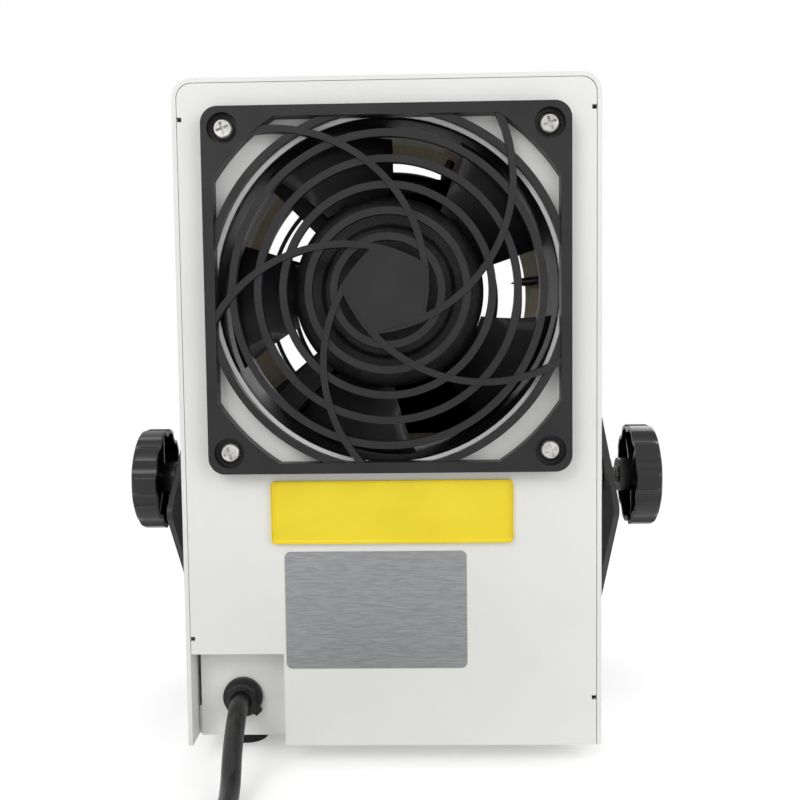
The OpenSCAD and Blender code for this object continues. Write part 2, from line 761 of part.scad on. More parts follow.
module speed_pot() {
    color("#9a9aa0") front(panel_t, -dial_x, control_z) difference() {
        union() {
            translate([0, 0, -9]) cylinder(r = pot_r, h = 9);
            translate([0, 0, -0.01]) cylinder(r = 3.5, h = panel_t + 5);
            for (x = [-5, 0, 5]) translate([x - 0.6, -13, -7]) cube([1.2, 6, 0.8]);
        }
        translate([0, 0, -8]) cylinder(r = 3 + run, h = 20);
    }
}

module pot_nut() {
    color("#c9c9cc") front(0, -dial_x, control_z) hex_nut(6, 2.2, 3.5 + run);
}

module dial_shaft() {
    color("#c9c9cc") front(panel_t, -dial_x, control_z) translate([0, 0, -7.8]) cylinder(r = 3, h = 20);
}

// Knurled dial with a skirt and a raised pointer
module speed_dial() {
    skirt = 3;
    color("#1c1c1e") front(0, -dial_x, control_z) difference() {
        union() {
            translate([0, 0, 3]) cylinder(r = dial_d / 2, h = skirt);
            translate([0, 0, 3 + skirt - 0.01]) linear_extrude(9) difference() {
                circle(dial_d / 2 - 3);
                for (k = [0 : 17]) rotate(k * 20) translate([dial_d / 2 - 2.5, 0]) circle(1.1, $fn = 16);
            }
            translate([-0.7, 0, 14.5]) cube([1.4, dial_d / 2 - 4, 1]);
        }
        translate([0, 0, 2]) cylinder(r = 7.2, h = 4.6);
        translate([0, 0, 2]) cylinder(r = 3.01, h = 9.2);
    }
}

module led_lenses() {
    color("#8fd08f") for (x = led_x) front(0, x, led_z) difference() {
        union() {
            translate([0, 0, -6]) cylinder(r = 2.4, h = 7);
            translate([0, 0, 0.9]) sphere(r = 2.3, $fn = 32);
            cylinder(r = 3.2, h = 0.8);
        }
        translate([0, 0, -20]) cylinder(r = 5, h = 14);
    }
}

// ---- cable entry and feet ------------------------------------------------------------------

relief_neck = 5.6;

// Snap-in strain relief: stepped rim with two flats, neck through the panel
module strain_relief() {
    color("#1a1a1c") rear(pocket_d, cable_x, cable_z) difference() {
        union() {
            cylinder(r = relief_d / 2, h = 2.2);
            translate([0, 0, 2.19]) intersection() {
                cylinder(r = relief_d / 2 - 1.2, h = relief_out - 2.19);
                cube([9.6, 20, 20], center = true);
            }
            translate([0, 0, -panel_t - 5]) cylinder(r = relief_neck - 0.2, h = panel_t + 5.01);
            rotate([0, 0, -45]) translate([relief_d / 2 - 1, -1.4, 0]) cube([2.2, 2.8, 2.2]);
        }
        translate([0, 0, -20]) cylinder(r = cord_d / 2 + run, h = 40);
    }
}

foot_places = [
    for (s = [-1, 1]) each [
        [s * (half_w - foot_side), pivot_y - foot_reach + foot_d / 2 - 1],
        [s * (half_w - foot_side), rear_y - foot_rear]
    ]
];

module feet() {
    color("#2c2c2e") for (p = foot_places) translate([p[0], p[1], 0]) difference() {
        union() {
            cylinder(r1 = foot_d / 2 - 1, r2 = foot_d / 2, h = foot_h);
        }
        translate([0, 0, -1]) cylinder(r = small_head_r + 0.4, h = 4.5);
        cylinder(r = small_r + 0.1, h = foot_h + 1);
    }
}

module foot_screws() {
    color("#b8b8bb") for (p = foot_places) translate([p[0], p[1], 3.5])
        rotate([180, 0, 0]) cross_screw(small_r, small_head_r, small_head_h, foot_h + panel_t - 2.7);
}

// ---- bracket and clamps --------------------------------------------------------------------

module pivot_spacers() {
    color("#c9c9cc") for (s = [-1, 1]) side(s, half_w) difference() {
        cylinder(r = 6, h = arm_gap - fit);
        translate([0, 0, -1]) cylinder(r = stud_d / 2 + run, h = arm_gap + 2);
    }
}

module pivot_nuts() {
    color("#b8b8bb") for (s = [-1, 1]) side(s, half_w - cover_t - 5) hex_nut(5.8, 5, stud_d / 2 + run);
}

arm_outer = arm_x + strap_t;
base_hole_x = 50;
base_hole_r = 3;
arm_corner = 3.5;

// U-shaped strip hung on the two studs, drawn straight down and tilted forward
module bracket() {
    color("#222224") translate([0, pivot_y, pivot_z]) rotate([-arm_tilt, 0, 0]) difference() {
        union() {
            for (s = [-1, 1]) translate([s * (arm_x + strap_t / 2), 0, (arm_end - strap_l) / 2])
                rotate([0, 90, 0]) linear_extrude(strap_t, center = true)
                    rounded_square(strap_l + arm_end, strap_w, arm_corner);
            for (s = [-1, 1]) translate([s * (arm_x + strap_t / 2), 0, -strap_l + 3])
                cube([strap_t, strap_w, 6], center = true);
            translate([0, 0, -strap_l + strap_t / 2]) cube([2 * arm_outer, strap_w, strap_t], center = true);
        }
        rotate([0, 90, 0]) cylinder(r = stud_d / 2 + run, h = 4 * arm_x, center = true);
        for (s = [-1, 1]) translate([s * base_hole_x, 0, -strap_l - 1])
            cylinder(r = base_hole_r, h = strap_t + 2);
    }
}

washer_t = 1.2;

module arm_washers() {
    color("#c9c9cc") for (s = [-1, 1]) side(s, arm_outer) difference() {
        cylinder(r = 6.2, h = washer_t);
        translate([0, 0, -1]) cylinder(r = stud_d / 2 + run, h = 4);
    }
}

hub_below = 3.6;
knob_wall = 1.4;
knob_web = 2;

module lobed(r) {
    difference() {
        circle(r, $fn = 96);
        for (k = [0 : knob_lobes - 1]) rotate(k * 360 / knob_lobes)
            translate([r + 3.6, 0]) circle(5, $fn = 48);
    }
}

// Moulded clamp knob: lobed rim, hollow underside, hub and ribs
module clamp_knob(s, slack) {
    kr = knob_d / 2;
    side(s, arm_outer + washer_t + slack + hub_below) difference() {
        union() {
            difference() {
                intersection() {
                    linear_extrude(knob_t) lobed(kr);
                    rotate_extrude($fn = 96) polygon([
                        [0, 0], [kr, 0], [kr, knob_t - 1.6], [kr - 0.5, knob_t - 0.5],
                        [kr - 1.6, knob_t], [0, knob_t]
                    ]);
                }
                translate([0, 0, -1]) linear_extrude(knob_t - knob_web + 1) lobed(kr - knob_wall);
            }
            translate([0, 0, -hub_below]) cylinder(r = 6, h = hub_below + knob_t - knob_web + 0.1);
            for (k = [0 : 4]) rotate([0, 0, (k + 0.5) * 72])
                translate([5, -0.7, 1.5]) cube([kr - 8, 1.4, knob_t - knob_web - 1.4]);
        }
        translate([0, 0, -hub_below - 1]) cylinder(r = stud_d / 2 + 0.01, h = hub_below + knob_t - knob_web);
    }
}

module clamp_stud(s, slack) {
    side(s, half_w - cover_t - 7)
        cylinder(r = stud_d / 2, h = cover_t + 7 + arm_gap + strap_t + washer_t + slack + hub_below + 5);
}

module knob_left() {
    color("#19191b") clamp_knob(1, slack_left);
}

module stud_left() {
    color("#c9c9cc") clamp_stud(1, slack_left);
}

module knob_right() {
    color("#19191b") clamp_knob(-1, slack_right);
}

module stud_right() {
    color("#c9c9cc") clamp_stud(-1, slack_right);
}

// ---- mains cable ---------------------------------------------------------------------------

cord_sides = 10;

module power_cord() {
    color("#141416") tube(smooth(CORD, 2), cord_d / 2, cord_sides);
}

module cord_tail() {
    color("#141416") tube(smooth(TAIL, 2), cord_d / 2, cord_sides);
}

// Space taken by the coiled length, lying on the bench
module cord_coil() {
    half = coil_wide * cord_d / 2;
    color("#141416") translate([coil_x, coil_y, 0]) rotate_extrude($fn = 96)
        translate([coil_mid_r - half, 0]) square([2 * half, coil_high * cord_d]);
}

// Moulded earthed plug lying on its side
module plug_body() {
    color("#17171a") translate([plug_x, plug_y, plug_z]) rotate([0, -90, 0]) difference() {
        rotate_extrude($fn = 48) polygon([
            [0, 0], [5.5, 0], [6.5, 10], [9, 14], [16, 20], [plug_r, 24], [plug_r, 36], [0, 36]
        ]);
        translate([0, 0, -1]) cylinder(r = cord_d / 2 + run, h = 9);
        for (v = [-1, 1]) translate([-4, v * 19 - 2.5, 22]) cube([8, 5, 20]);
        translate([10, 0, 24]) cylinder(r = 2.5, h = 20, $fn = 24);
    }
}

module plug_pins() {
    color("#c9c9cc") translate([plug_x - 36, plug_y, plug_z]) rotate([0, -90, 0])
        for (v = [-1, 1]) translate([0, v * 9.5, 0]) {
            cylinder(r = 2.4, h = 18, $fn = 24);
            translate([0, 0, 17.99]) cylinder(r1 = 2.4, r2 = 1.6, h = 1, $fn = 24);
        }
}

cover();
chassis();
rear_panel();
cover_screws();
rear_guard();
guard_screws();
guard_nuts();
fan_frame();
motor_stator();
fan_bearings();
rotor_shaft();
rotor_hub();
fan_blades();
outlet_grille();
grille_screws();
grille_nuts();
emitter_ring();
emitter_needles();
ring_pillars();
ring_screws();
hv_module();
control_board();
board_parts();
board_pillars();
wiring();
switch_housing();
switch_rocker();
speed_pot();
pot_nut();
dial_shaft();
speed_dial();
led_lenses();
strain_relief();
feet();
foot_screws();
pivot_spacers();
pivot_nuts();
bracket();
arm_washers();
knob_left();
stud_left();
knob_right();
stud_right();
power_cord();
cord_coil();
cord_tail();
plug_body();
plug_pins();
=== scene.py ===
import json
from math import cos, pi, radians, sin

import bpy
from bpy.props import FloatProperty, FloatVectorProperty, IntProperty, PointerProperty
from mathutils import Matrix, Vector


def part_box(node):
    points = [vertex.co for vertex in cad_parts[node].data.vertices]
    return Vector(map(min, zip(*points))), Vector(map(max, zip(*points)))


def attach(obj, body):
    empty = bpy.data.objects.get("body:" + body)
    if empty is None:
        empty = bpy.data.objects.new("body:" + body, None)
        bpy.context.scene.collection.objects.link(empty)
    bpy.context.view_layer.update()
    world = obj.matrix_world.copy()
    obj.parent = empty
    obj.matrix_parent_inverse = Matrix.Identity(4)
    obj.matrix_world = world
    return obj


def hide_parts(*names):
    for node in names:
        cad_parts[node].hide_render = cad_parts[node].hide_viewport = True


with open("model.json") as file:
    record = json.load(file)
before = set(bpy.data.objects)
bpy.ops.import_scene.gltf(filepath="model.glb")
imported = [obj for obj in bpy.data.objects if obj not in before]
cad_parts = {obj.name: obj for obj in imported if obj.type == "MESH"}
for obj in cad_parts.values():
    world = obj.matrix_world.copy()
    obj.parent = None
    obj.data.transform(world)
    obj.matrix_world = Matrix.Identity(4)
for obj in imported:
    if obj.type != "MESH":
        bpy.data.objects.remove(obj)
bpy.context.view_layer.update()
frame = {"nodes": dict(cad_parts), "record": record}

bl_info = {
    "name": "Ionizing blower",
    "version": (1, 0, 0),
    "blender": (4, 5, 0),
    "location": "View3D > Sidebar > Blower",
    "description": "Dresses a bench-top ionizing blower: case, guard, fan, bracket, labels and cable",
    "category": "Object",
}

MM = 0.001
COVER_LOW, COVER_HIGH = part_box("cover")
REAR_Y = COVER_HIGH[1]
CASE_LOW = COVER_LOW[2]

# Camera: behind the blower, aimed a little down at the middle of the case's rear face
CAMERA_SIDE = -10.7 * MM
CAMERA_BACK = 317.56 * MM
CAMERA_UP = 138.25 * MM
CAMERA_TURN = radians(181.302)
CAMERA_TILT = radians(90 - 3.774)
CAMERA_ROLL = radians(-0.705)
CAMERA_LENS = 43.28

# Mesh clean-up before an edge is rounded: points welded, faces taken as flat, edges taken as sharp
WELD = 0.002 * MM
FLAT = radians(0.3)
SHARP = radians(32)

# Labels: middle along X and above the case's underside, and corner radius
UPPER_LABEL = (-0.35 * MM, 80.1 * MM, 1.5 * MM)
LOWER_LABEL = (5.4 * MM, 46.7 * MM, 2 * MM)

# Lamps: name, place, diameter and power in watts, all aimed at the middle of the blower
LAMPS = [
    ("key_lamp", (0.55, 0.95, 0.85), 0.7, 4.6),
    ("fill_lamp", (-0.75, 0.8, 0.45), 0.8, 2.9),
    ("front_lamp", (-0.3, -0.9, 0.7), 0.8, 3.6),
]
LAMP_AIM = (0, 0, 0.12)

# Surroundings: light they give, and how the floor turns plain white away from the blower
SOFT_LIGHT = 0.6
FLOOR_SIZE = 8
FLOOR_GLOW = 0.34
FADE_START = 0.18
FADE_END = 0.5

# Route of the cable, in metres: out of its relief, down to the bench and off to its coil
CORD_POINTS = [
    (0.0525, 0.046, 0.0215), (0.0525, 0.055, 0.0215), (0.052, 0.065, 0.0192), (0.0515, 0.075, 0.0125),
    (0.0505, 0.084, 0.006), (0.0495, 0.095, 0.0035), (0.0485, 0.108, 0.0035), (0.048, 0.124, 0.0035),
    (0.0472, 0.145, 0.0034),
]
TAIL_POINTS = [
    (0.005, 0.187, 0.0098), (-0.008, 0.188, 0.012), (-0.020, 0.1905, 0.017), (-0.032, 0.192, 0.0195),
    (-0.040, 0.192, 0.0195),
]
COIL_CENTRE = (0.005, 0.145)
COIL_OUTER = 42 * MM
COIL_TURNS = 5.25
# Each turn's place inward from the outermost, counted in cables, and its axis's height in cables
TURN_STEPS = (0, 1, 2, 2, 1, 0)
BENCH_LAYER = 0.52
UPPER_LAYER = 1.5
# Share of a turn over which the cable steps to the next one
STEP_SHARE = 0.2
# The route starts where the cable leaves its relief, past this much of the first straight
OUTLET_GAP = 0.5 * MM


# ---- colours, nodes and small helpers --------------------------------------------------------

def linear(code):
    """Linear RGBA of an sRGB hex colour such as '#E9E9E6'."""
    parts = [int(code[i:i + 2], 16) / 255 for i in (1, 3, 5)]
    return (*[c / 12.92 if c <= 0.04045 else ((c + 0.055) / 1.055) ** 2.4 for c in parts], 1.0)


def add_node(tree, kind, inputs=None, **settings):
    """A node of that kind, with its settings, and its inputs set or linked."""
    made = tree.nodes.new(kind)
    for name, value in settings.items():
        setattr(made, name, value)
    for name, value in (inputs or {}).items():
        if isinstance(value, bpy.types.NodeSocket):
            tree.links.new(value, made.inputs[name])
        else:
            made.inputs[name].default_value = value
    return made


def per_mm(size):
    """Scale at which a pattern on metre coordinates repeats about every size millimetres."""
    return 1 / (size * MM)


def start_material(name):
    """An empty material with its node tree and its object coordinates."""
    material = bpy.data.materials.new(name)
    material.use_nodes = True
    tree = material.node_tree
    tree.nodes.clear()
    place = add_node(tree, "ShaderNodeTexCoord")
    return material, tree, place.outputs["Object"]


def finish_material(tree, **inputs):
    """The surface shader and the output that end a material."""
    named = {key.replace("_", " "): value for key, value in inputs.items()}
    surface = add_node(tree, "ShaderNodeBsdfPrincipled", named)
    add_node(tree, "ShaderNodeOutputMaterial", {"Surface": surface.outputs["BSDF"]})


def noise(tree, place, size, detail=3.0, rough=0.5):
    """Soft random pattern whose blotches are about size millimetres wide."""
    made = add_node(tree, "ShaderNodeTexNoise", {
        "Vector": place, "Scale": per_mm(size), "Detail": detail, "Roughness": rough,
    })
    return made.outputs["Fac"]


def two_tone(tree, factor, low, high, start=0.35, end=0.65):
    """Colour that drifts from low to high as the factor goes from start to end."""
    ramp = add_node(tree, "ShaderNodeValToRGB", {"Fac": factor})
    ramp.color_ramp.elements[0].position = start
    ramp.color_ramp.elements[0].color = linear(low)
    ramp.color_ramp.elements[1].position = end
    ramp.color_ramp.elements[1].color = linear(high)
    return ramp.outputs["Color"]


def spread(tree, factor, low, high):
    """Number that goes from low to high with the factor."""
    made = add_node(tree, "ShaderNodeMapRange", {"Value": factor, "To Min": low, "To Max": high})
    return made.outputs["Result"]


def bump(tree, height, depth, strength=1.0, under=None):
    """Relief of depth millimetres, laid over the one under it if that is given."""
    inputs = {"Height": height, "Distance": depth * MM, "Strength": strength}
    if under is not None:
        inputs["Normal"] = under
    return add_node(tree, "ShaderNodeBump", inputs).outputs["Normal"]


# ---- materials -------------------------------------------------------------------------------

def powder_coat(name, low, high, roughness):
    """Polyester powder coat on steel: it gives a soft sheen over a fine orange peel."""
    material, tree, place = start_material(name)
    peel = noise(tree, place, 0.9, 2.0)
    drift = noise(tree, place, 60, 2.0)
    finish_material(
        tree, Base_Color=two_tone(tree, drift, low, high),
        Roughness=spread(tree, noise(tree, place, 4), roughness - 0.05, roughness + 0.05),
        Normal=bump(tree, peel, 0.06, 0.6),
    )
    return material


def moulded_nylon(name, low, high, roughness, grain=0.5, depth=0.03):
    """Glass-filled nylon from a spark-eroded mould: nearly black, with a fine matt grain."""
    material, tree, place = start_material(name)
    finish_material(
        tree, Base_Color=two_tone(tree, noise(tree, place, 12), low, high),
        Roughness=spread(tree, noise(tree, place, 3), roughness - 0.06, roughness + 0.08),
        Normal=bump(tree, noise(tree, place, grain, 2.0), depth, 0.7),
        Specular_IOR_Level=0.35,
    )
    return material


def rough_casting(name, low, high):
    """Die-cast aluminium under a thin black paint: the casting skin shows as a coarse pebble."""
    material, tree, place = start_material(name)
    pebble = add_node(tree, "ShaderNodeTexVoronoi", {"Vector": place, "Scale": per_mm(0.8)})
    coarse = bump(tree, noise(tree, place, 2.2, 4.0, 0.6), 0.25, 0.6)
    finish_material(
        tree, Base_Color=two_tone(tree, noise(tree, place, 5), low, high),
        Roughness=spread(tree, noise(tree, place, 1.5), 0.42, 0.62),
        Normal=bump(tree, pebble.outputs["Distance"], 0.14, 0.7, coarse),
        Specular_IOR_Level=0.4,
    )
    return material


def gloss_plastic(name, low, high, roughness):
    """Polished ABS moulding: clear highlights, with faint flow marks."""
    material, tree, place = start_material(name)
    finish_material(
        tree, Base_Color=two_tone(tree, noise(tree, place, 20), low, high),
        Roughness=spread(tree, noise(tree, place, 6), roughness - 0.03, roughness + 0.05),
        Normal=bump(tree, noise(tree, place, 5), 0.03, 0.3),
        Specular_IOR_Level=0.45,
    )
    return material


def flexible_pvc(name):
    """Extruded PVC cable sheath: glossy, with slight waves along it."""
    material, tree, place = start_material(name)
    finish_material(
        tree, Base_Color=two_tone(tree, noise(tree, place, 15), "#101012", "#19191B"),
        Roughness=spread(tree, noise(tree, place, 8), 0.22, 0.34),
        Normal=bump(tree, noise(tree, place, 4), 0.05, 0.4),
        Specular_IOR_Level=0.5,
    )
    return material


def soft_rubber(name):
    """Moulded rubber: dull black with a fine tooth."""
    material, tree, place = start_material(name)
    finish_material(
        tree, Base_Color=two_tone(tree, noise(tree, place, 6), "#1B1B1C", "#262627"),
        Roughness=spread(tree, noise(tree, place, 2), 0.6, 0.75),
        Normal=bump(tree, noise(tree, place, 0.6), 0.04, 0.6),
        Specular_IOR_Level=0.3,
    )
    return material


def plated_steel(name, low="#B4B2AC", high="#D8D6D0", roughness=0.26, thread=False):
    """Zinc-plated steel: bright metal, slightly clouded; a thread adds grooves along X."""
    material, tree, place = start_material(name)
    relief = bump(tree, noise(tree, place, 0.7), 0.02, 0.5)
    if thread:
        wave = add_node(tree, "ShaderNodeTexWave", {"Vector": place, "Scale": 0.314 * per_mm(1.0)},
                        bands_direction="X")
        relief = bump(tree, wave.outputs["Fac"], 0.5, 1.0, relief)
    finish_material(
        tree, Base_Color=two_tone(tree, noise(tree, place, 3), low, high),
        Metallic=1.0,
        Roughness=spread(tree, noise(tree, place, 1.2), roughness - 0.07, roughness + 0.12),
        Normal=relief,
    )
    return material


def printed_vinyl(name, low, high):
    """Bare sticker of printed vinyl: an even colour with a satin face."""
    material, tree, place = start_material(name)
    finish_material(
        tree, Base_Color=two_tone(tree, noise(tree, place, 18), low, high),
        Roughness=spread(tree, noise(tree, place, 5), 0.36, 0.46),
        Normal=bump(tree, noise(tree, place, 1.4), 0.02, 0.4),
    )
    return material


def matt_foil(name, low, high):
    """Bare sticker of silver polyester foil: grey with a fine metal grain along X."""
    material, tree, place = start_material(name)
    grain_place = add_node(tree, "ShaderNodeMapping", {"Vector": place, "Scale": (0.08, 1.0, 1.0)})
    grain = noise(tree, grain_place.outputs["Vector"], 0.35, 3.0)
    finish_material(
        tree, Base_Color=two_tone(tree, grain, low, high),
        Metallic=0.35,
        Roughness=spread(tree, grain, 0.38, 0.52),
        Normal=bump(tree, grain, 0.01, 0.4),
    )
    return material


def pressed_board(name, low, high, roughness=0.5):
    """Phenolic or glass-epoxy board: fine fibres under a thin resin skin."""
    material, tree, place = start_material(name)
    fibres = add_node(tree, "ShaderNodeMapping", {"Vector": place, "Scale": (1.0, 1.0, 0.2)})
    grain = noise(tree, fibres.outputs["Vector"], 0.8, 4.0)
    finish_material(
        tree, Base_Color=two_tone(tree, grain, low, high), Roughness=roughness,
        Normal=bump(tree, grain, 0.03, 0.5),
    )
    return material


def tinted_lens(name):
    """Translucent polystyrene lens of an indicator light."""
    material, tree, place = start_material(name)
    finish_material(
        tree, Base_Color=two_tone(tree, noise(tree, place, 4), "#58B868", "#74D084"),
        Roughness=0.18, Transmission_Weight=0.45,
        Normal=bump(tree, noise(tree, place, 1.5), 0.01, 0.3),
    )
    return material


def make_materials():
    """Every finish of the blower by the record's slot name."""
    return {
        # painted sheet: soft sheen with orange peel, off-white on the case and black on the bracket
        "powder_white": powder_coat("white_powder_coat", "#E6E6E3", "#EBEBE8", 0.42),
        "bracket_black": powder_coat("black_powder_coat", "#161618", "#1E1E20", 0.45),
        # fan: pebbled casting skin on the frame and hub, smoother paint on the blades
        "cast_black": rough_casting("painted_die_casting", "#111112", "#1B1B1D"),
        "blade_black": powder_coat("painted_steel_blade", "#17171A", "#222226", 0.40),
        # plastics and sheath: matt grain on the guard, clear highlights on the knobs and the cable
        "moulded_black": moulded_nylon("moulded_nylon", "#18181A", "#202022", 0.42),
        "gloss_black": gloss_plastic("polished_abs", "#0E0E10", "#151518", 0.24),
        "pvc_black": flexible_pvc("flexible_pvc"),
        # fixings: bright clouded plating, with fine grooves where a thread shows
        "zinc_steel": plated_steel("zinc_plated_steel"),
        "threaded_steel": plated_steel("zinc_plated_thread", thread=True),
        # motor, grille and emitter: varnished stack, coated wire, fibrous ring and dark needles
        "lamination": plated_steel("varnished_laminations", "#6B4A30", "#8A6240", 0.5),
        "wire_black": powder_coat("black_coated_wire", "#141415", "#1C1C1E", 0.35),
        "phenolic": pressed_board("pressed_phenolic", "#C6B79C", "#D6C9B0"),
        "needle_steel": plated_steel("dark_needle_steel", "#4A4440", "#6A625C", 0.35),
        # electrics: pale pillars, glossy potting, green board and dull component cases
        "nylon_white": moulded_nylon("natural_nylon", "#D8D6CC", "#E2E0D8", 0.45),
        "potting_black": gloss_plastic("cast_epoxy", "#18181B", "#222226", 0.3),
        "board_green": pressed_board("solder_masked_board", "#1E5A36", "#2A6C44", 0.35),
        "board_parts": moulded_nylon("moulded_component_cases", "#3A3A40", "#4A4A50", 0.45),
        "lead_red": flexible_pvc("silicone_lead"),
        # small parts: glowing-through lens and dull rubber feet
        "lens_green": tinted_lens("tinted_lens"),
        "rubber_black": soft_rubber("moulded_rubber"),
    }


MATERIALS = {}


# ---- pieces ----------------------------------------------------------------------------------

def owner(node):
    """The body that holds a CAD node."""
    for body, nodes in frame["record"]["behaviour"]["bodies"].items():
        if node in nodes:
            return body
    raise RuntimeError(f"no body holds {node}")


def slot_of(node):
    """The material slot that the record gives a CAD node."""
    for part in frame["record"]["subparts"]:
        if part["node"] == node:
            return part["material_slot"]
    raise RuntimeError(f"no slot is given for {node}")


def only(obj):
    """Makes obj the one selected and active object."""
    bpy.ops.object.select_all(action="DESELECT")
    obj.select_set(True)
    bpy.context.view_layer.objects.active = obj


def paint(obj, material):
    """Gives an object one material in every slot that it has."""
    if obj.material_slots:
        for place in obj.material_slots:
            place.material = material
    else:
        obj.data.materials.append(material)


def paint_node(node, finish=None):
    """Gives a CAD node its slot's finish, or the one named."""
    paint(frame["nodes"][node], MATERIALS[finish or slot_of(node)])


def softened_copy(node, width, finish=None, steps=2, smooth=35):
    """Stands for a CAD node: the same form with its edges rounded to width millimetres."""
    source = frame["nodes"][node]
    piece = source.copy()
    piece.data = source.data.copy()
    piece.name = node + "_finished"
    piece.data.name = piece.name
    bpy.context.scene.collection.objects.link(piece)
    piece.parent = None
    piece.matrix_world = Matrix.Identity(4)
    only(piece)
    bpy.ops.object.mode_set(mode="EDIT")
    bpy.ops.mesh.select_all(action="SELECT")
    bpy.ops.mesh.remove_doubles(threshold=WELD)
    bpy.ops.mesh.dissolve_limited(angle_limit=FLAT)
    bpy.ops.object.mode_set(mode="OBJECT")
    if width > 0:
        edge = piece.modifiers.new("edge_radius", "BEVEL")
        edge.width = width * MM
        edge.segments = steps
        edge.limit_method = "ANGLE"
        edge.angle_limit = SHARP
        edge.use_clamp_overlap = True
        bpy.ops.object.modifier_apply(modifier="edge_radius")
    bpy.ops.object.shade_smooth_by_angle(angle=radians(smooth))
    if width > 0:
        even = piece.modifiers.new("even_faces", "WEIGHTED_NORMAL")
        even.keep_sharp = True
        bpy.ops.object.modifier_apply(modifier="even_faces")
    piece.data.materials.clear()
    piece.data.materials.append(MATERIALS[finish or slot_of(node)])
    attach(piece, owner(node))
    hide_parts(node)
    return piece


def sticker(name, place, size, thick, material):
    """Thin label with rounded corners on the rear panel."""
    x, above, radius = place
    width, height = size
    bpy.ops.object.select_all(action="DESELECT")
    bpy.ops.mesh.primitive_cube_add(size=1, location=(x, REAR_Y + thick / 2, CASE_LOW + above),
                                    scale=(width, thick, height))
    piece = bpy.context.active_object
    piece.name = name
    bpy.ops.object.transform_apply(location=True, rotation=True, scale=True)
    bpy.ops.object.mode_set(mode="EDIT")
    bpy.ops.mesh.select_all(action="DESELECT")
    bpy.ops.object.mode_set(mode="OBJECT")
    for edge in piece.data.edges:
        a, b = (piece.data.vertices[i].co for i in edge.vertices)
        edge.select = abs(a.y - b.y) > thick / 2
    bpy.ops.object.mode_set(mode="EDIT")
    bpy.ops.mesh.select_mode(type="EDGE")
    bpy.ops.mesh.bevel(offset=radius, segments=8, affect="EDGES")
    bpy.ops.object.mode_set(mode="OBJECT")
    paint(piece, material)
    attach(piece, "blower")
    return piece


def smooth_points(points, steps):
    """Curve through the route's points, the same as the construction's."""
    path = [Vector(p) for p in points]
    made = []
    for i in range(len(path) - 1):
        a, b = path[max(i - 1, 0)], path[i]
        c, d = path[i + 1], path[min(i + 2, len(path) - 1)]
        for k in range(steps):
            t = k / steps
            made.append(0.5 * (2 * b + (c - a) * t + (2 * a - 5 * b + 4 * c - d) * t ** 2
                               + (3 * b - a - 3 * c + d) * t ** 3))
    return made + [path[-1]]


def coil_points(diameter):
    """Turns wound side by side inward on the bench, then outward on top of them."""
    radii = [COIL_OUTER - step * diameter for step in TURN_STEPS]
    last = len(radii) - 1
    levels = [diameter * (BENCH_LAYER if k < len(radii) / 2 else UPPER_LAYER) for k in range(last + 1)]
    a_turn = settings().points_a_turn
    made = []
    for n in range(1, round(COIL_TURNS * a_turn)):
        t = n / a_turn
        k = min(int(t), last)
        ahead = min(k + 1, last)
        s = max(0.0, (t - k - 1 + STEP_SHARE) / STEP_SHARE) if t < last else 0.0
        s = s * s * (3 - 2 * s)
        r = radii[k] + (radii[ahead] - radii[k]) * s
        z = levels[k] + (levels[ahead] - levels[k]) * s
        a = 2 * pi * t
        made.append(Vector((COIL_CENTRE[0] + r * cos(a), COIL_CENTRE[1] + r * sin(a), z)))
    return made


# ---- sizes and colours a user may change -----------------------------------------------------

class BlowerSettings(bpy.types.PropertyGroup):
    upper_size: FloatVectorProperty(
        name="Upper label", description="Width and height of the yellow label", size=2,
        default=(0.0805, 0.021), unit="LENGTH")
    lower_size: FloatVectorProperty(
        name="Lower label", description="Width and height of the grey label", size=2,
        default=(0.061, 0.040), unit="LENGTH")
    label_thick: FloatProperty(
        name="Label thickness", description="Thickness of both labels",
        default=0.00015, unit="LENGTH")
    cord_diameter: FloatProperty(
        name="Cable diameter", description="Outer diameter of the mains cable",
        default=0.0065, unit="LENGTH")
    edge_radius: FloatProperty(
        name="Edge radius", description="Rounding of the guard's moulded edges",
        default=0.00035, unit="LENGTH")
    floor_colour: FloatVectorProperty(
        name="Floor", description="Colour of the floor", size=4, subtype="COLOR",
        default=linear("#F4F4F4"))
    points_a_turn: IntProperty(
        name="Points a turn", description="Points in one turn of the coiled cable",
        default=40)


def settings():
    """The scene's own copy of the sizes and colours."""
    return bpy.context.scene.blower


# ---- operators -------------------------------------------------------------------------------

class BLOWER_OT_materials(bpy.types.Operator):
    """Makes every finish and puts it on the pieces of the frame"""
    bl_idname = "blower.materials"
    bl_label = "Finishes"

    def execute(self, context):
        MATERIALS.update(make_materials())
        for node in frame["nodes"]:
            paint_node(node)
        for node in ("stud_left", "stud_right"):
            paint_node(node, "threaded_steel")
        return {"FINISHED"}


class BLOWER_OT_case(bpy.types.Operator):
    """Cover, chassis and rear panel with the small radius of folded, coated sheet"""
    bl_idname = "blower.case"
    bl_label = "Case"

    def execute(self, context):
        softened_copy("cover", 0.35)
        softened_copy("chassis", 0.25)
        softened_copy("rear_panel", 0.3)
        return {"FINISHED"}


class BLOWER_OT_guard(bpy.types.Operator):
    """Moulded finger guard with rounded rings and spiral arms, and its screws"""
    bl_idname = "blower.guard"
    bl_label = "Rear guard"

    def execute(self, context):
        softened_copy("rear_guard", settings().edge_radius / MM)
        for node in ("guard_screws", "grille_screws", "cover_screws", "foot_screws", "ring_screws"):
            softened_copy(node, 0.12)
        return {"FINISHED"}


class BLOWER_OT_fan(bpy.types.Operator):
    """Fan frame, rotor cup and swept blades"""
    bl_idname = "blower.fan"
    bl_label = "Fan"

    def execute(self, context):
        softened_copy("fan_frame", 0.4)
        softened_copy("rotor_hub", 0.5)
        softened_copy("fan_blades", 0, smooth=50)
        softened_copy("outlet_grille", 0)
        return {"FINISHED"}


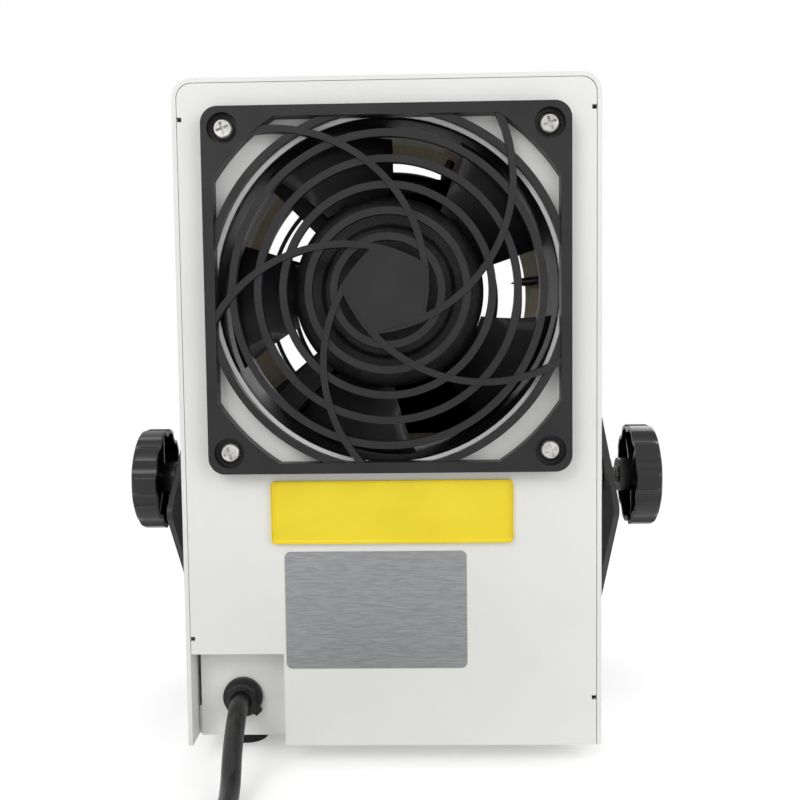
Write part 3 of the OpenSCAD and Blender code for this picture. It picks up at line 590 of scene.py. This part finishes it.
class BLOWER_OT_bracket(bpy.types.Operator):
    """Bracket, clamp knobs and their washers"""
    bl_idname = "blower.bracket"
    bl_label = "Bracket"

    def execute(self, context):
        softened_copy("bracket", 0.4)
        for node in ("knob_left", "knob_right"):
            softened_copy(node, 0.4)
        for node in ("pivot_spacers", "arm_washers"):
            softened_copy(node, 0.2)
        return {"FINISHED"}


class BLOWER_OT_controls(bpy.types.Operator):
    """Switch, speed dial, indicator lenses, strain relief and feet"""
    bl_idname = "blower.controls"
    bl_label = "Controls and feet"

    def execute(self, context):
        softened_copy("switch_housing", 0.3)
        softened_copy("switch_rocker", 0.5)
        softened_copy("speed_dial", 0.3)
        softened_copy("led_lenses", 0)
        softened_copy("strain_relief", 0.35)
        softened_copy("feet", 0.5)
        return {"FINISHED"}


class BLOWER_OT_labels(bpy.types.Operator):
    """Two bare labels under the fan guard"""
    bl_idname = "blower.labels"
    bl_label = "Labels"

    def execute(self, context):
        sizes = settings()
        sticker("upper_label", UPPER_LABEL, sizes.upper_size, sizes.label_thick,
                printed_vinyl("yellow_vinyl", "#EFD71E", "#F5DF28"))
        sticker("lower_label", LOWER_LABEL, sizes.lower_size, sizes.label_thick,
                matt_foil("grey_foil", "#8F9092", "#A2A3A5"))
        return {"FINISHED"}


class BLOWER_OT_cord(bpy.types.Operator):
    """Mains cable from its strain relief through its coil to the plug"""
    bl_idname = "blower.cord"
    bl_label = "Mains cable"

    def execute(self, context):
        diameter = settings().cord_diameter
        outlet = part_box("strain_relief")[1][1]
        lead = [p for p in smooth_points(CORD_POINTS, 5) if p.y > outlet + OUTLET_GAP]
        exit_point = Vector((CORD_POINTS[1][0], outlet, CORD_POINTS[1][2]))
        path = [exit_point] + lead + coil_points(diameter) + smooth_points(TAIL_POINTS[:-1], 4)
        data = bpy.data.curves.new("mains_cable", "CURVE")
        data.dimensions = "3D"
        data.bevel_depth = diameter / 2
        data.bevel_resolution = 6
        data.use_fill_caps = True
        line = data.splines.new("POLY")
        line.points.add(len(path) - 1)
        for point, place in zip(line.points, path):
            point.co = (*place, 1)
        line.use_smooth = True
        cable = bpy.data.objects.new("mains_cable", data)
        bpy.context.scene.collection.objects.link(cable)
        data.materials.append(MATERIALS["pvc_black"])
        plug = softened_copy("plug_body", 0.6)
        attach(cable, "blower")
        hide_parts("power_cord", "cord_coil", "cord_tail")
        return {"FINISHED"}


class BLOWER_OT_stage(bpy.types.Operator):
    """White floor and surroundings, soft lamps and the camera"""
    bl_idname = "blower.stage"
    bl_label = "Stage"

    def execute(self, context):
        self.add_world()
        self.add_floor()
        for lamp in LAMPS:
            self.add_lamp(*lamp)
        self.add_camera()
        bpy.context.scene.view_settings.view_transform = "Standard"
        return {"FINISHED"}

    def seen_white(self, tree, plain, white):
        """Mixes the plain shader with the white one where the camera, gloss or glass looks."""
        path = add_node(tree, "ShaderNodeLightPath")
        first = add_node(tree, "ShaderNodeMath", {
            0: path.outputs["Is Camera Ray"], 1: path.outputs["Is Glossy Ray"]}, operation="MAXIMUM")
        either = add_node(tree, "ShaderNodeMath", {
            0: first.outputs[0], 1: path.outputs["Is Transmission Ray"]}, operation="MAXIMUM")
        return add_node(tree, "ShaderNodeMixShader", {0: either.outputs[0], 1: plain, 2: white})

    def add_world(self):
        world = bpy.data.worlds.new("white_surroundings")
        world.use_nodes = True
        tree = world.node_tree
        tree.nodes.clear()
        plain = add_node(tree, "ShaderNodeBackground", {"Strength": SOFT_LIGHT})
        white = add_node(tree, "ShaderNodeBackground", {"Strength": 1.0})
        for shader in (plain, white):
            shader.inputs["Color"].default_value = (1, 1, 1, 1)
        mix = self.seen_white(tree, plain.outputs[0], white.outputs[0])
        add_node(tree, "ShaderNodeOutputWorld", {"Surface": mix.outputs[0]})
        bpy.context.scene.world = world

    def add_floor(self):
        bpy.ops.object.select_all(action="DESELECT")
        bpy.ops.mesh.primitive_plane_add(size=FLOOR_SIZE, location=(0, 0, 0))
        floor = bpy.context.active_object
        floor.name = "floor"
        material, tree, place = start_material("pale_floor")
        matt = add_node(tree, "ShaderNodeBsdfDiffuse", {"Color": settings().floor_colour[:]})
        glow = add_node(tree, "ShaderNodeEmission", {"Color": (1, 1, 1, 1), "Strength": FLOOR_GLOW})
        lifted = add_node(tree, "ShaderNodeAddShader", {0: matt.outputs[0], 1: glow.outputs[0]})
        white = add_node(tree, "ShaderNodeEmission", {"Color": (1, 1, 1, 1), "Strength": 1.0})
        reach = add_node(tree, "ShaderNodeVectorMath", {0: place}, operation="LENGTH")
        far = add_node(tree, "ShaderNodeMapRange", {
            "Value": reach.outputs["Value"], "From Min": FADE_START, "From Max": FADE_END})
        fade = add_node(tree, "ShaderNodeMixShader", {
            0: far.outputs["Result"], 1: lifted.outputs[0], 2: white.outputs[0]})
        mix = self.seen_white(tree, matt.outputs[0], fade.outputs[0])
        add_node(tree, "ShaderNodeOutputMaterial", {"Surface": mix.outputs[0]})
        floor.data.materials.append(material)

    def add_lamp(self, name, place, size, power):
        data = bpy.data.lights.new(name, "AREA")
        data.shape = "DISK"
        data.size = size
        data.energy = power
        lamp = bpy.data.objects.new(name, data)
        lamp.location = place
        lamp.rotation_euler = (Vector(LAMP_AIM) - Vector(place)).to_track_quat("-Z", "Y").to_euler()
        bpy.context.scene.collection.objects.link(lamp)

    def add_camera(self):
        data = bpy.data.cameras.new("camera")
        data.lens = CAMERA_LENS
        data.sensor_width = 36
        camera = bpy.data.objects.new("camera", data)
        turn = Matrix.Rotation(CAMERA_TURN, 4, "Z") @ Matrix.Rotation(CAMERA_TILT, 4, "X")
        camera.matrix_world = Matrix.Translation(
            (CAMERA_SIDE, REAR_Y + CAMERA_BACK, CASE_LOW + CAMERA_UP)
        ) @ turn @ Matrix.Rotation(CAMERA_ROLL, 4, "Z")
        bpy.context.scene.collection.objects.link(camera)
        bpy.context.scene.camera = camera


class BLOWER_PT_panel(bpy.types.Panel):
    """Lists the blower's groups of pieces"""
    bl_idname = "BLOWER_PT_panel"
    bl_label = "Ionizing blower"
    bl_space_type = "VIEW_3D"
    bl_region_type = "UI"
    bl_category = "Blower"

    def draw(self, context):
        for name in BlowerSettings.__annotations__:
            self.layout.prop(context.scene.blower, name)
        for operator in OPERATORS:
            self.layout.operator(operator.bl_idname)


OPERATORS = [
    BLOWER_OT_materials, BLOWER_OT_stage, BLOWER_OT_cord, BLOWER_OT_case, BLOWER_OT_guard,
    BLOWER_OT_fan, BLOWER_OT_bracket, BLOWER_OT_controls, BLOWER_OT_labels,
]
CLASSES = [BlowerSettings, *OPERATORS, BLOWER_PT_panel]


def register():
    for made in CLASSES:
        bpy.utils.register_class(made)
    bpy.types.Scene.blower = PointerProperty(type=BlowerSettings)


def unregister():
    del bpy.types.Scene.blower
    for made in reversed(CLASSES):
        bpy.utils.unregister_class(made)


def main():
    register()
    bpy.ops.blower.materials()
    bpy.ops.blower.stage()
    bpy.ops.blower.cord()
    bpy.ops.blower.case()
    bpy.ops.blower.guard()
    bpy.ops.blower.fan()
    bpy.ops.blower.bracket()
    bpy.ops.blower.controls()
    bpy.ops.blower.labels()


if __name__ == "__main__":
    main()
